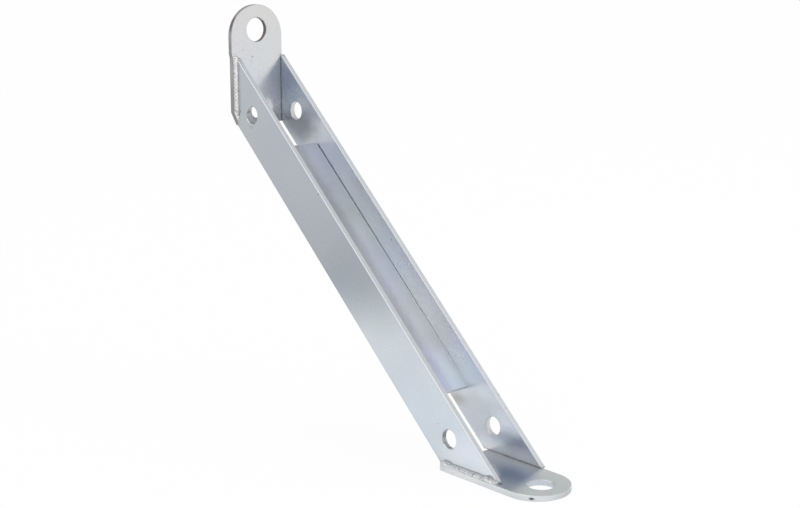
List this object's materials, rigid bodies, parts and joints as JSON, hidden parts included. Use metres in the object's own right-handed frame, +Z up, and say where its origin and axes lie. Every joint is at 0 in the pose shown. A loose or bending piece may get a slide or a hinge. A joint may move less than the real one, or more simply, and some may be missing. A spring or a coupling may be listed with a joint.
{
  "type": "support arm",
  "caption": "Welded zinc-plated steel support arm: a sloping double-plate strut between a wall lug and a foot lug, both drilled.",
  "frame": {"origin": "centre of the wall lug's hole, on the face that lies against the wall", "axes": "+X out from the wall, +Y across the arm from the near side plate to the far one, +Z up the wall lug"},
  "size_m": [0.2405, 0.037, 0.224],
  "materials": {
    "side_plate_zinc": "bright zinc plate, satin",
    "web_zinc": "bright zinc plate, bluish satin",
    "lug_zinc": "bright zinc plate, satin",
    "weld_zinc": "zinc plated weld bead, rippled"
  },
  "bodies": {
    "root": {"near_side_plate": "side_plate_zinc", "far_side_plate": "side_plate_zinc", "web_plate": "web_zinc", "wall_lug": "lug_zinc", "foot_lug": "lug_zinc", "wall_weld_near": "weld_zinc", "wall_weld_far": "weld_zinc", "foot_weld_near": "weld_zinc", "foot_weld_far": "weld_zinc", "web_weld_near": "weld_zinc", "web_weld_far": "weld_zinc"}
  },
  "joints": []
}
